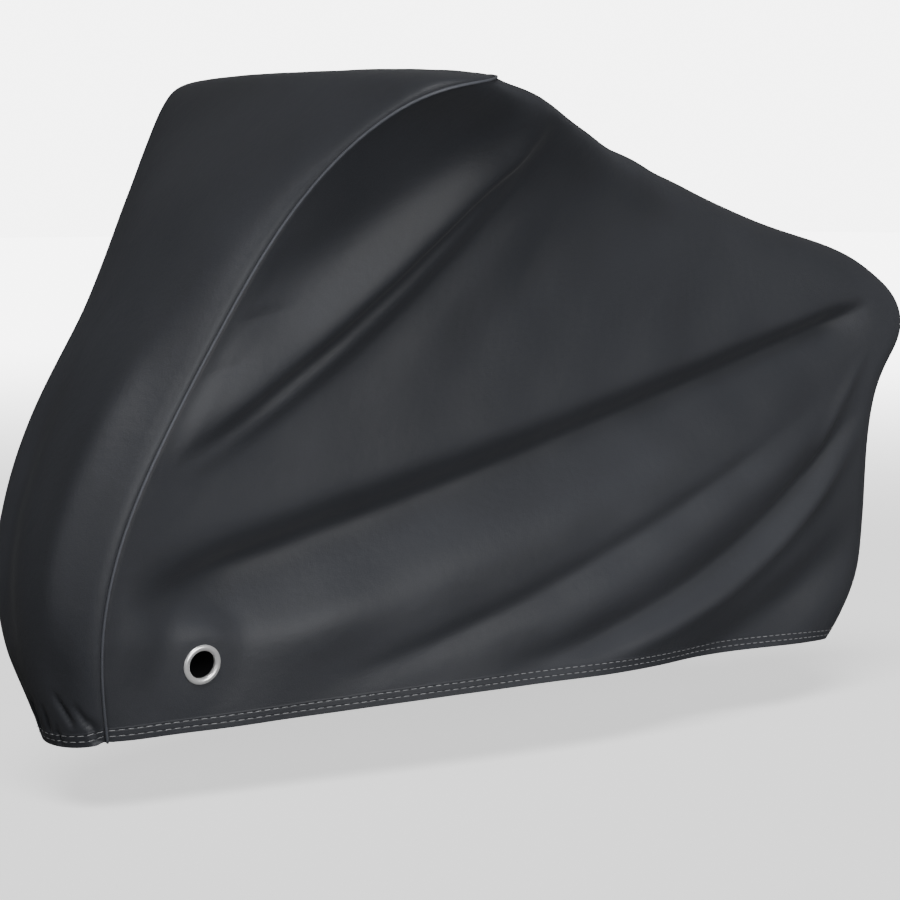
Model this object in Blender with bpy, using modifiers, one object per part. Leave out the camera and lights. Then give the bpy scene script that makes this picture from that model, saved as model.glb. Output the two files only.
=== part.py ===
"""Fitted bicycle cover: two side panels, a wide front panel between them, a welted arch
seam, and a pair of steel eyelets for a lock low at the front.

Frame: metres. +X runs from the handlebar to the rear, -Y is the bicycle's left side, +Z is
up. The origin is on the underside of the cloth where it lies over the middle of the
handlebar. The tables below give x from the handlebar, half widths y from the middle plane,
and h, the height above the ground that the wheels stand on.
"""

from collections import namedtuple

import bpy
import numpy as np
from mathutils import Matrix, Vector

# ---------------------------------------------------------------- driving dimensions
BAR_HEIGHT = 1.168        # top of the cloth over the handlebar, above the ground
CLOTH = 0.002             # thickness of the sheet
HEM = 0.003               # thickness of the turned-up hem
WELT_RADIUS = 0.002       # piped cord of the arch seam
SEAM_BACK = 0.0029        # a panel's edge from the middle of that cord
GAP = 0.0003              # between pieces that touch
JOIN = 0.0008             # between the two side panels along the ridge and the tail
LEAN = 0.02               # rise of the cover from its left side to its right side
EYELET_HOLE = 0.023       # radius of the clear hole in a grommet
EYELET_RIM = 0.033        # outer radius of a grommet
EYELET_AT = (0.104, 0.070)     # share along the hem, share up the side
PUNCHED_HOLE = EYELET_HOLE + 0.002      # radius of the hole in the cloth
STRIP_FLAT = EYELET_RIM + 0.004         # radius of the strip's flat ring
FLAT_RADIUS = 0.042       # round each eyelet the cloth is pressed flat this far
FLAT_BLEND = 0.030        # and eases back into the drape over this much more

LEFT, RIGHT = -1, 1       # sign of y on each side

# grid steps: along each side, and across half of the front
LEFT_STEPS, RIGHT_STEPS, FRONT_STEPS = 40, 26, 7
# levels up the cover: hem, lower side, shoulder round the handlebar, ridge
LEVELS = np.concatenate([[0.0, 0.018, 0.025], np.linspace(0.0429, 0.6, 14),
                         np.linspace(0.6, 0.92, 12)[1:], np.linspace(0.92, 1.0, 4)[1:]])
HEM_LEVELS = 2            # the first levels, which lie in the hem
STRIP_LEVEL = 6           # level at the top of an eyelet strip
STRIP_SHARE = 0.205       # length of an eyelet strip, as a share of the side
STRIP_RINGS = (0.3, 0.65)           # its rings between the eyelet and its edge
STRIP_FLAT_SHARE = (0.024, 0.029)   # size of its innermost ring but one, in shares
FRONT_TOP = 0.985         # level of the front panel's top edge, short of the crown's point

# ---------------------------------------------------------------- tables of the form
# The arch seam from the hem to the crown, with the middle line of the front panel beside
# it. share: of the seam's length; fullness: 1 gives an elliptical row across the front, less
# a squarer one; overhang: how far the row stands out past the seam round a bar end.
Arch = namedtuple("Arch", "share seam_x seam_y seam_h front_x front_h fullness overhang")
ARCH = [
    Arch(0.000, -0.435, 0.085, 0.117, -0.485, 0.106, 1.00, 0.000),
    Arch(0.103, -0.466, 0.126, 0.282, -0.535, 0.270, 1.00, 0.000),
    Arch(0.215, -0.440, 0.160, 0.465, -0.525, 0.460, 1.00, 0.000),
    Arch(0.304, -0.380, 0.177, 0.602, -0.462, 0.615, 1.00, 0.000),
    Arch(0.421, -0.285, 0.195, 0.772, -0.350, 0.795, 0.95, 0.000),
    Arch(0.534, -0.192, 0.235, 0.936, -0.240, 0.965, 0.85, 0.000),
    Arch(0.624, -0.112, 0.298, 1.052, -0.130, 1.080, 0.70, 0.010),
    Arch(0.692, -0.043, 0.355, 1.116, -0.050, 1.147, 0.50, 0.030),
    Arch(0.741, 0.018, 0.385, 1.142, 0.000, 1.168, 0.40, 0.040),
    Arch(0.790, 0.100, 0.370, 1.153, 0.070, 1.168, 0.60, 0.015),
    Arch(0.840, 0.165, 0.300, 1.156, 0.120, 1.164, 0.90, 0.000),
    Arch(0.920, 0.203, 0.150, 1.155, 0.170, 1.160, 0.80, 0.000),
    Arch(1.000, 0.210, 0.000, 1.154, 0.205, 1.155, 0.80, 0.000),
]

# The hem of a side, from the arch seam to the tail.
HemPoint = namedtuple("HemPoint", "share x h")
HEM_LINE = [
    HemPoint(0.00, -0.435, 0.117),
    HemPoint(0.10, -0.290, 0.118),
    HemPoint(0.25, -0.020, 0.126),
    HemPoint(0.42, 0.285, 0.133),
    HemPoint(0.60, 0.600, 0.132),
    HemPoint(0.80, 0.970, 0.126),
    HemPoint(0.92, 1.125, 0.119),
    HemPoint(1.00, 1.205, 0.114),
]

# The ridge in the middle plane, from the crown of the arch over the saddle to the tail.
RidgePoint = namedtuple("RidgePoint", "share x h")
RIDGE = [
    RidgePoint(0.00, 0.210, 1.154),
    RidgePoint(0.15, 0.400, 1.120),
    RidgePoint(0.32, 0.630, 1.045),
    RidgePoint(0.50, 0.860, 0.975),
    RidgePoint(0.68, 1.080, 0.910),
    RidgePoint(0.86, 1.285, 0.855),
    RidgePoint(1.00, 1.400, 0.785),
]

# The tail in the middle plane, from the hem up to the end of the ridge.
TAIL = [
    RidgePoint(0.00, 1.205, 0.114),
    RidgePoint(0.12, 1.258, 0.195),
    RidgePoint(0.30, 1.273, 0.330),
    RidgePoint(0.52, 1.278, 0.500),
    RidgePoint(0.76, 1.338, 0.640),
    RidgePoint(0.90, 1.392, 0.715),
    RidgePoint(1.00, 1.400, 0.785),
]

# Half widths of the side at sections along it. share: along the side, from the arch seam.
WIDTH_LEVELS = (0.0, 0.2, 0.4, 0.6, 0.8, 0.92, 1.0)
Width = namedtuple("Width", "share hem knee waist chest shoulder brow ridge")
WIDTHS = [
    Width(0.15, 0.118, 0.152, 0.180, 0.234, 0.250, 0.108, 0.0),
    Width(0.32, 0.165, 0.172, 0.173, 0.178, 0.160, 0.086, 0.0),
    Width(0.50, 0.183, 0.175, 0.160, 0.140, 0.115, 0.062, 0.0),
    Width(0.70, 0.155, 0.152, 0.142, 0.125, 0.100, 0.055, 0.0),
    Width(0.86, 0.100, 0.118, 0.122, 0.115, 0.095, 0.052, 0.0),
    Width(0.95, 0.055, 0.075, 0.085, 0.082, 0.070, 0.040, 0.0),
    Width(1.00, 0.000, 0.000, 0.000, 0.000, 0.000, 0.000, 0.0),
]
RIDGE_ROUND, TAIL_ROUND = 0.08, 0.10     # how early the cloth turns over at the two edges
RIDGE_START = 0.15        # share of the side over which the ridge grows out of the crown

# Folds. Each runs from (x0, h0) past (x1, h1) to (x2, h2) as seen square from the side;
# rise: how far it stands out (+) or lies in (-) at its start and end; above, below: its half
# width towards each flank, at its start; spread: how many times wider it is at its end;
# fade0, fade1: shares of its length over which it dies out.
Fold = namedtuple("Fold", "x0 h0 x1 h1 x2 h2 rise0 rise1 above below spread fade0 fade1")
LEFT_FOLDS = [
    # the long trough from the tail down to the front wheel, and the swell under it
    Fold(1.30, 0.768, 0.430, 0.552, -0.44, 0.310, -0.020, -0.048, 0.020, 0.038, 2.8, 0.10, 0.14),
    Fold(1.15, 0.600, 0.440, 0.360, -0.36, 0.250, 0.012, 0.010, 0.090, 0.090, 1.0, 0.25, 0.25),
    # the hollow behind the arch seam, and the pleats that fall from the shoulder
    Fold(0.26, 1.095, -0.010, 0.950, -0.26, 0.780, -0.018, -0.012, 0.050, 0.055, 1.0, 0.25, 0.25),
    Fold(0.30, 1.125, 0.050, 0.808, -0.40, 0.555, 0.036, 0.018, 0.070, 0.022, 1.1, 0.15, 0.20),
    Fold(0.315, 1.105, 0.065, 0.788, -0.385, 0.535, -0.015, -0.009, 0.012, 0.013, 1.5, 0.15, 0.25),
    Fold(0.32, 1.075, 0.076, 0.773, -0.375, 0.520, 0.007, 0.007, 0.011, 0.012, 1.5, 0.15, 0.25),
    Fold(0.33, 1.030, 0.092, 0.752, -0.28, 0.540, -0.007, -0.004, 0.014, 0.045, 1.3, 0.20, 0.35),
    Fold(0.42, 0.960, 0.350, 0.860, 0.30, 0.770, -0.006, -0.004, 0.040, 0.060, 1.0, 0.40, 0.40),
    # the folds that swing down and forward from the tail
    Fold(1.22, 0.640, 0.460, 0.285, -0.08, 0.165, -0.006, -0.009, 0.018, 0.022, 1.2, 0.35, 0.25),
    Fold(1.24, 0.640, 0.740, 0.275, 0.20, 0.185, 0.010, 0.010, 0.040, 0.040, 1.2, 0.25, 0.30),
    Fold(1.23, 0.590, 0.860, 0.195, 0.20, 0.130, -0.018, -0.014, 0.022, 0.022, 1.2, 0.25, 0.30),
    Fold(1.24, 0.560, 0.940, 0.179, 0.40, 0.130, 0.022, 0.014, 0.026, 0.024, 1.1, 0.25, 0.30),
    Fold(1.27, 0.370, 0.930, 0.095, 0.50, 0.095, -0.048, -0.026, 0.045, 0.060, 1.0, 0.20, 0.35),
]
RIGHT_FOLDS = [
    Fold(1.28, 0.740, 0.500, 0.640, -0.38, 0.420, -0.014, -0.026, 0.024, 0.055, 2.0, 0.12, 0.18),
    Fold(1.10, 0.580, 0.450, 0.380, -0.30, 0.270, 0.012, 0.012, 0.090, 0.090, 1.0, 0.25, 0.25),
    Fold(0.30, 1.090, 0.020, 0.900, -0.25, 0.740, -0.016, -0.010, 0.045, 0.045, 1.2, 0.15, 0.25),
    Fold(0.40, 1.030, 0.150, 0.780, -0.30, 0.560, -0.014, -0.010, 0.030, 0.030, 1.5, 0.20, 0.25),
    Fold(1.25, 0.620, 0.960, 0.260, 0.15, 0.200, -0.012, -0.012, 0.035, 0.040, 1.3, 0.25, 0.30),
    Fold(1.22, 0.480, 1.060, 0.180, 0.40, 0.150, 0.012, 0.010, 0.032, 0.032, 1.2, 0.25, 0.30),
]
# On the front panel the first coordinate is y, so these run up and down it.
FRONT_FOLDS = [
    Fold(-0.17, 0.860, -0.150, 0.450, -0.035, 0.120, 0.007, 0.010, 0.040, 0.035, 0.8, 0.30, 0.20),
    Fold(-0.11, 0.780, -0.100, 0.450, -0.065, 0.180, -0.008, -0.008, 0.035, 0.035, 0.8, 0.30, 0.30),
    Fold(0.12, 0.840, 0.110, 0.450, 0.030, 0.130, -0.008, -0.010, 0.035, 0.040, 0.8, 0.30, 0.20),
    Fold(0.05, 0.700, 0.060, 0.400, 0.045, 0.110, 0.006, 0.008, 0.035, 0.030, 0.8, 0.30, 0.20),
]
FOLD_SAMPLES = 40         # points along a fold's path
SEAM_EASE = 0.030         # folds die out this close to the arch seam, in shares of the side
TAIL_EASE = 0.080         # to the tail
RIDGE_EASE = 0.080        # and to the ridge


# ---------------------------------------------------------------- mathematics of the form
def column(rows, *names):
    """The named columns of a table, as an array with a row for each of its rows."""
    return np.array([[getattr(row, name) for name in names] for row in rows])


def spline(knots, values, at):
    """Natural cubic spline through the rows of values at the knots; its shape is at's."""
    knots, values = np.asarray(knots, float), np.asarray(values, float)
    count, step = len(knots), np.diff(knots)
    system = np.eye(count)
    right = np.zeros_like(values)
    for i in range(1, count - 1):
        system[i, i - 1:i + 2] = step[i - 1], 2 * (step[i - 1] + step[i]), step[i]
        right[i] = 6 * ((values[i + 1] - values[i]) / step[i]
                        - (values[i] - values[i - 1]) / step[i - 1])
    bend = np.linalg.solve(system, right)
    place = np.clip(np.asarray(at, float), knots[0], knots[-1])
    i = np.clip(np.searchsorted(knots, place) - 1, 0, count - 2)
    width = step[i][..., None]
    after = (knots[i + 1] - place)[..., None]
    before = (place - knots[i])[..., None]
    return ((bend[i] * after ** 3 + bend[i + 1] * before ** 3) / (6 * width)
            + (values[i] / width - bend[i] * width / 6) * after
            + (values[i + 1] / width - bend[i + 1] * width / 6) * before)


def ease(t):
    """0 below 0, 1 above 1, and a smooth step between."""
    t = np.clip(t, 0.0, 1.0)
    return t * t * (3 - 2 * t)


def turned(share, radius):
    """A share from 0 to 1 that slows to a stop at 1, so that the cloth turns over there."""
    full = np.sqrt(1 + radius * radius) - radius
    return 1 - (np.sqrt((1 - share) ** 2 + radius * radius) - radius) / full


def side_form(along, up):
    """The left side without folds. In side view it is the Coons patch of the arch seam, the
    hem, the ridge and the tail; its width is a spline surface through the table."""
    u = turned(along, TAIL_ROUND)
    v = up + (turned(up, RIDGE_ROUND) - up) * ease(along / RIDGE_START)
    seam = spline(column(ARCH, "share")[:, 0], column(ARCH, "seam_x", "seam_h"), v)
    tail = spline(column(TAIL, "share")[:, 0], column(TAIL, "x", "h"), v)
    hem = spline(column(HEM_LINE, "share")[:, 0], column(HEM_LINE, "x", "h"), u)
    ridge = spline(column(RIDGE, "share")[:, 0], column(RIDGE, "x", "h"), u)
    low0, low1 = column(ARCH, "seam_x", "seam_h")[0], column(TAIL, "x", "h")[0]
    top0, top1 = column(ARCH, "seam_x", "seam_h")[-1], column(TAIL, "x", "h")[-1]
    u, v = u[..., None], v[..., None]
    flat = ((1 - u) * seam + u * tail + (1 - v) * hem + v * ridge
            - (1 - u) * (1 - v) * low0 - u * (1 - v) * low1
            - (1 - u) * v * top0 - u * v * top1)
    stations = [0.0] + [row.share for row in WIDTHS]
    at_seam = spline(column(ARCH, "share")[:, 0], column(ARCH, "seam_y"), up)
    at_rest = spline(WIDTH_LEVELS, column(WIDTHS, *Width._fields[1:]).T, up)
    weights = spline(stations, np.eye(len(stations)), along)
    width = (weights * np.concatenate([at_seam, at_rest], -1)).sum(-1)
    return np.stack([flat[..., 0], -width, flat[..., 1]], -1)


def front_form(across, up):
    """The left half of the front without folds: across is 0 in the middle, 1 at the seam.
    Each row is a superellipse quarter from the middle line to the seam."""
    shares = column(ARCH, "share")[:, 0]
    middle = spline(shares, column(ARCH, "front_x", "front_h"), up)
    manner = spline(shares, column(ARCH, "fullness", "overhang"), up)
    seam = side_form(np.zeros_like(up), up)
    angle = across * np.pi / 2
    reach = np.maximum(np.cos(angle), 1e-9) ** manner[..., 0]
    x = seam[..., 0] + (middle[..., 0] - seam[..., 0]) * reach
    h = seam[..., 2] + (middle[..., 1] - seam[..., 2]) * reach
    bulge = 2.6 * np.sin(angle) ** 2 * np.cos(angle)
    return np.stack([x, seam[..., 1] * np.sin(angle) - manner[..., 1] * bulge, h], -1)


def outward(form, first, second, step=1e-4):
    """Unit normals of a form, by differences; they point out of the cover's left half."""
    a = np.clip(first, step, 1 - step)
    b = np.clip(second, step, 1 - step)
    along = form(a + step, b) - form(a - step, b)
    up = form(a, b + step) - form(a, b - step)
    normal = np.cross(along, up)
    return normal / np.linalg.norm(normal, axis=-1, keepdims=True)


def fold_rise(folds, across, height):
    """How far the folds stand out at points of the side view: each is a bell curve of the
    distance from its path, a quadratic Bezier, with a different width on its two flanks."""
    total = np.zeros(np.shape(across))
    s = np.linspace(0, 1, FOLD_SAMPLES)
    for f in folds:
        path_x = (1 - s) ** 2 * f.x0 + 2 * s * (1 - s) * f.x1 + s * s * f.x2
        path_h = (1 - s) ** 2 * f.h0 + 2 * s * (1 - s) * f.h1 + s * s * f.h2
        dx = across[..., None] - path_x
        dh = height[..., None] - path_h
        nearest = np.argmin(dx ** 2 + dh ** 2, -1)
        tangent_x, tangent_h = np.gradient(path_x), np.gradient(path_h)
        length = np.hypot(tangent_x, tangent_h)
        dx = np.take_along_axis(dx, nearest[..., None], -1)[..., 0]
        dh = np.take_along_axis(dh, nearest[..., None], -1)[..., 0]
        tx, th = (tangent_x / length)[nearest], (tangent_h / length)[nearest]
        along = dx * tx + dh * th                 # past the nearest sample, or past an end
        off = np.where(tx > 0, 1.0, -1.0) * (dh * tx - dx * th)
        place = s[nearest]
        wide = 1 + (f.spread - 1) * place
        width = wide * np.where(off > 0, f.above, f.below)
        rise = f.rise0 + (f.rise1 - f.rise0) * place
        live = ease(place / f.fade0) * ease((1 - place) / f.fade1)
        past_end = np.where((nearest == 0) | (nearest == FOLD_SAMPLES - 1), along, 0.0)
        total += rise * live * np.exp(-(off ** 2 + past_end ** 2) / width ** 2)
    return total


def eyelet_frame():
    """Centre of the left eyelet and the unit vectors rearward, up and out of the cloth."""
    u, v = np.array(EYELET_AT[0]), np.array(EYELET_AT[1])
    centre = side_form(u, v)
    out = outward(side_form, u, v)
    rear = np.array([1.0, 0.0, 0.0])
    rear = rear - rear.dot(out) * out
    rear /= np.linalg.norm(rear)
    return centre, rear, np.cross(out, rear), out


def side_cloth(along, up, folds):
    """The left side with its folds, pressed flat round the eyelet."""
    form = side_form(along, up)
    still = ease(along / SEAM_EASE) * ease((1 - along) / TAIL_EASE) * ease((1 - up) / RIDGE_EASE)
    rise = still * fold_rise(folds, form[..., 0], form[..., 2])
    cloth = form + rise[..., None] * outward(side_form, along, up)
    centre, _, _, out = eyelet_frame()
    away = cloth - centre
    press = 1 - ease((np.linalg.norm(away, axis=-1) - FLAT_RADIUS) / FLAT_BLEND)
    return cloth - (press * (away @ out))[..., None] * out


def front_cloth(across, up):
    """The front with its folds: across runs from -1 at the left seam to 1 at the right."""
    form = front_form(abs(across), up)
    normal = outward(front_form, abs(across), up)
    mirror = np.stack([np.ones_like(across), np.where(across > 0, -1.0, 1.0),
                       np.ones_like(across)], -1)
    form, normal = form * mirror, normal * mirror
    still = ease((1 - abs(across)) / 0.3) * ease((1 - up) / RIDGE_EASE)
    rise = still * fold_rise(FRONT_FOLDS, form[..., 1], form[..., 2])
    return form - rise[..., None] * normal


def settle(points):
    """From x, y and height above the ground to the part's frame, with the cover's lean."""
    placed = np.array(points, float)
    rise = np.clip(placed[..., 2] - ARCH[0].seam_h, 0, 1)
    placed[..., 2] += LEAN * placed[..., 1] * rise - (BAR_HEIGHT - CLOTH)
    return placed


def mirrored(points, side):
    """A left-hand form moved to the side asked for."""
    return points * np.array([1.0, -side, 1.0])


# ---------------------------------------------------------------- the seam between panels
def seam_line(levels):
    """Points of the left half of the arch seam, the directions in the cloth square to it,
    towards the tail, and the outward normals."""
    start = np.zeros_like(levels)
    points = side_form(start, levels)
    away = side_form(start + 1e-3, levels) - points
    run = np.gradient(points, axis=0)
    run /= np.linalg.norm(run, axis=-1, keepdims=True)
    away -= (away * run).sum(-1, keepdims=True) * run
    away /= np.linalg.norm(away, axis=-1, keepdims=True)
    return points, away, np.cross(away, run)


# ---------------------------------------------------------------- Blender helpers
def clear_scene():
    for item in list(bpy.data.objects):
        bpy.data.objects.remove(item, do_unlink=True)


def new_collection(name):
    group = bpy.data.collections.new(name)
    bpy.context.scene.collection.children.link(group)
    return group


def material(name, colour, roughness, metallic=0.0):
    made = bpy.data.materials.new(name)
    made.use_nodes = True
    shader = made.node_tree.nodes["Principled BSDF"]
    shader.inputs["Base Color"].default_value = (*colour, 1.0)
    shader.inputs["Roughness"].default_value = roughness
    shader.inputs["Metallic"].default_value = metallic
    return made


def add_object(name, mesh, finish, group):
    made = bpy.data.objects.new(name, mesh)
    mesh.materials.append(finish)
    group.objects.link(made)
    return made


def halves(points, faces):
    """Each four-sided face as two triangles, parted along its shorter diagonal."""
    made = []
    for a, b, c, d in faces:
        if np.linalg.norm(points[a] - points[c]) <= np.linalg.norm(points[b] - points[d]):
            made += [[a, b, c], [a, c, d]]
        else:
            made += [[a, b, d], [b, c, d]]
    return made


def sheet(name, outer, normals, faces, hem_points, finish, group):
    """A closed sheet of cloth: its outer face, its inner face set in along the normals by
    the cloth's thickness or the hem's, and a narrow rim between them. Both faces are parted
    into the same triangles, so that they stay parallel."""
    faces = halves(outer, faces)
    depth = np.full(len(outer), CLOTH)
    depth[hem_points] = HEM
    inner = outer - normals * depth[:, None]
    count = len(outer)
    once = {}
    for face in faces:
        for a, b in zip(face, face[1:] + face[:1]):
            if (b, a) in once:
                del once[b, a]
            else:
                once[a, b] = True
    rim = [(b, a, a + count, b + count) for a, b in once]
    back = [tuple(i + count for i in reversed(face)) for face in faces]
    mesh = bpy.data.meshes.new(name)
    mesh.from_pydata(np.concatenate([outer, inner]).tolist(), [], faces + back + rim)
    mesh.shade_smooth()
    return add_object(name, mesh, finish, group)


def grid_faces(rows, columns, keep=None, flip=False):
    """Quads of a grid whose point number is row * columns + column."""
    faces = []
    for i in range(rows - 1):
        for j in range(columns - 1):
            if keep is None or keep(i, j):
                corner = i * columns + j
                quad = [corner, corner + columns, corner + columns + 1, corner + 1]
                faces.append(quad[::-1] if flip else quad)
    return faces


def used_only(points, normals, faces, marked):
    """The points that the faces use, with faces and marked points renumbered to suit."""
    used = sorted({i for face in faces for i in face})
    number = {old: new for new, old in enumerate(used)}
    return (points[used], normals[used], [[number[i] for i in face] for face in faces],
            [number[i] for i in marked if i in number])


def grid_normals(points):
    """Unit normals of a grid of points, along its first direction crossed with its second."""
    normal = np.cross(np.gradient(points, axis=0), np.gradient(points, axis=1))
    return normal / np.linalg.norm(normal, axis=-1, keepdims=True)


def turned_ring(name, profile, finish, group, place, steps=24):
    """A ring turned from a closed profile of (radius, height) pairs, outer side first."""
    mesh = bpy.data.meshes.new(name)
    count = len(profile)
    mesh.from_pydata([(r, 0.0, z) for r, z in profile],
                     [(i, (i + 1) % count) for i in range(count)], [])
    made = add_object(name, mesh, finish, group)
    screw = made.modifiers.new("turn", "SCREW")
    screw.steps = screw.render_steps = steps
    screw.use_merge_vertices = True
    screw.merge_threshold = 1e-5
    screw.use_smooth_shade = True
    made.matrix_world = place
    return made


# ---------------------------------------------------------------- the pieces
def side_grid(shares, folds):
    """Points and normals of a left-hand side panel's grid, its edges drawn back for the welt
    at the arch seam and for the join along the ridge and the tail."""
    along, up = np.meshgrid(shares, LEVELS, indexing="ij")
    points = side_cloth(along, up, folds)
    normals = grid_normals(points)
    seam, away, normal = seam_line(LEVELS)
    points[0] = seam + away * SEAM_BACK
    normals[0] = normal
    normals[-1, -1] = normals[-1, -3] + normals[-3, -1]
    for edge in ((slice(None), -1), (-1, slice(None))):
        points[(*edge, 1)] = -JOIN / 2
        normals[(*edge, 1)] = 0.0
        normals[edge] /= np.linalg.norm(normals[edge], axis=-1, keepdims=True)
    return points, normals


def side_panel(name, steps, side, folds, finish, group):
    """One side panel, less the corner that its eyelet strip takes."""
    shares = np.linspace(0, 1, steps + 1)
    points, normals = side_grid(shares, folds)
    points, normals = settle(mirrored(points, side)), mirrored(normals, side)
    strip = int(round(STRIP_SHARE * steps))
    faces = grid_faces(len(shares), len(LEVELS), flip=side == RIGHT,
                       keep=lambda i, j: i >= strip or j >= STRIP_LEVEL)
    hem = [i * len(LEVELS) + j for i in range(len(shares)) for j in range(HEM_LEVELS)]
    parts = used_only(points.reshape(-1, 3), normals.reshape(-1, 3), faces, hem)
    return sheet(name, *parts, finish, group)


def eyelet_strip(name, steps, side, folds, finish, group):
    """The corner of a side panel round its eyelet: rings from the corner's edge, which has
    the panel's own points, in to the punched hole."""
    shares = np.linspace(0, 1, steps + 1)
    last = int(round(STRIP_SHARE * steps))
    edge = ([(i, 0) for i in range(last)] + [(last, j) for j in range(STRIP_LEVEL)]
            + [(i, STRIP_LEVEL) for i in range(last, 0, -1)]
            + [(0, j) for j in range(STRIP_LEVEL, 0, -1)])
    count = len(edge)
    grid, grid_out = side_grid(shares, folds)
    rim = np.array([grid[place] for place in edge])
    rim_out = np.array([grid_out[place] for place in edge])
    rim_shares = np.array([(shares[i], LEVELS[j]) for i, j in edge])
    centre, rear, rise, out = eyelet_frame()
    seen = rim[0] - centre
    angle = np.arctan2(seen @ rise, seen @ rear) + np.linspace(0, 2 * np.pi, count + 1)[:-1]
    spokes = np.cos(angle)[:, None] * rear + np.sin(angle)[:, None] * rise
    rings = [centre + radius * spokes for radius in (PUNCHED_HOLE, STRIP_FLAT)]
    rings_out = [np.tile(out, (count, 1))] * 2
    inner_shares = EYELET_AT + np.stack([np.cos(angle), np.sin(angle)], -1) * STRIP_FLAT_SHARE
    for part in STRIP_RINGS:
        mid = inner_shares + (rim_shares - inner_shares) * part
        rings.append(side_cloth(mid[:, 0], mid[:, 1], folds))
        rings_out.append(outward(side_form, mid[:, 0], mid[:, 1]))
    inward = centre - rim
    inward /= np.linalg.norm(inward, axis=-1, keepdims=True)
    cut = np.array([j == STRIP_LEVEL or i == last for i, j in edge])[:, None]
    rings.append(rim + cut * inward * JOIN)
    rings_out.append(rim_out)
    faces = []
    for ring in range(len(rings) - 1):
        for k in range(count):
            a, b = ring * count + k, ring * count + (k + 1) % count
            quad = [a, a + count, b + count, b]
            faces.append(quad if side == LEFT else quad[::-1])
    hem = [(len(rings) - 1) * count + k for k, (_, j) in enumerate(edge) if j < HEM_LEVELS]
    return sheet(name, settle(mirrored(np.concatenate(rings), side)),
                 mirrored(np.concatenate(rings_out), side), faces, hem, finish, group)


def front_panel(finish, group):
    """The front panel, from its own short hem over the handlebar to the crown of the arch."""
    levels = LEVELS.copy()
    levels[-1] = FRONT_TOP
    shares = np.linspace(-1, 1, 2 * FRONT_STEPS + 1)
    across, up = np.meshgrid(shares, levels, indexing="ij")
    points = front_cloth(across, up)
    normals = -grid_normals(points)
    seam, away, normal = seam_line(levels)
    edge = seam - away * SEAM_BACK
    points[0], points[-1] = edge, mirrored(edge, RIGHT)
    normals[0], normals[-1] = normal, mirrored(normal, RIGHT)
    points[:, -1] = np.linspace(points[0, -1], points[-1, -1], len(shares))
    faces = grid_faces(len(shares), len(levels), flip=True)
    hem = [i * len(levels) + j for i in range(len(shares)) for j in range(HEM_LEVELS)]
    return sheet("front_panel", settle(points).reshape(-1, 3), normals.reshape(-1, 3), faces,
                 hem, finish, group)


def arch_welt(finish, group):
    """The piped cord in the arch seam, from the left hem over the crown to the right hem."""
    seam, _, normal = seam_line(LEVELS)
    left = seam - normal * CLOTH / 2
    path = settle(np.concatenate([left, mirrored(left, RIGHT)[-2::-1]]))
    curve = bpy.data.curves.new("arch_welt", "CURVE")
    curve.dimensions = "3D"
    curve.bevel_depth = WELT_RADIUS
    curve.bevel_resolution = 1
    curve.use_fill_caps = True
    line = curve.splines.new("POLY")
    line.points.add(len(path) - 1)
    for point, place in zip(line.points, path):
        point.co = (*place, 1.0)
    made = bpy.data.objects.new("arch_welt", curve)
    curve.materials.append(finish)
    group.objects.link(made)
    return made


def eyelet(side, finish, group):
    """A grommet whose barrel passes through the cloth, and the washer that it is set on."""
    word = "left" if side == LEFT else "right"
    centre, rear, rise, out = eyelet_frame()
    place = settle(mirrored(centre, side))
    turn = np.stack([rear, rise, out], -1) * np.array([[1.0], [-side], [1.0]])
    if side == RIGHT:
        turn[:, 0] *= -1
    matrix = Matrix.Translation(Vector(place)) @ Matrix(turn.tolist()).to_4x4()
    barrel = EYELET_HOLE + 0.0012
    back = -CLOTH - GAP
    grommet = [
        (EYELET_RIM, GAP), (EYELET_RIM - 0.0002, 0.0014), (EYELET_RIM - 0.0014, 0.0026),
        (EYELET_RIM - 0.0032, 0.0032), (EYELET_HOLE + 0.0030, 0.0032),
        (EYELET_HOLE + 0.0012, 0.0026), (EYELET_HOLE + 0.0003, 0.0014), (EYELET_HOLE, 0.0),
        (EYELET_HOLE, back - 0.0026), (EYELET_HOLE + 0.0006, back - 0.0034),
        (EYELET_HOLE + 0.0034, back - 0.0034), (EYELET_HOLE + 0.0040, back - 0.0026),
        (EYELET_HOLE + 0.0034, back - 0.0018), (barrel, back - 0.0018), (barrel, GAP),
    ]
    washer = [(EYELET_RIM - 0.001, back - 0.0015), (EYELET_RIM - 0.001, back),
              (barrel + GAP, back), (barrel + GAP, back - 0.0015)]
    turned_ring("grommet_" + word, grommet[::-1], finish, group, matrix)
    turned_ring("washer_" + word, washer[::-1], finish, group, matrix)


def main():
    clear_scene()
    group = new_collection("bicycle_cover")
    cloth = material("proofed_polyester", (0.045, 0.048, 0.053), 0.55)
    thread = material("welt_cord", (0.05, 0.053, 0.058), 0.6)
    steel = material("polished_steel", (0.78, 0.78, 0.78), 0.15, 1.0)
    side_panel("side_panel_left", LEFT_STEPS, LEFT, LEFT_FOLDS, cloth, group)
    side_panel("side_panel_right", RIGHT_STEPS, RIGHT, RIGHT_FOLDS, cloth, group)
    eyelet_strip("eyelet_strip_left", LEFT_STEPS, LEFT, LEFT_FOLDS, cloth, group)
    eyelet_strip("eyelet_strip_right", RIGHT_STEPS, RIGHT, RIGHT_FOLDS, cloth, group)
    front_panel(cloth, group)
    arch_welt(thread, group)
    for side in (LEFT, RIGHT):
        eyelet(side, steel, group)


main()
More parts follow.
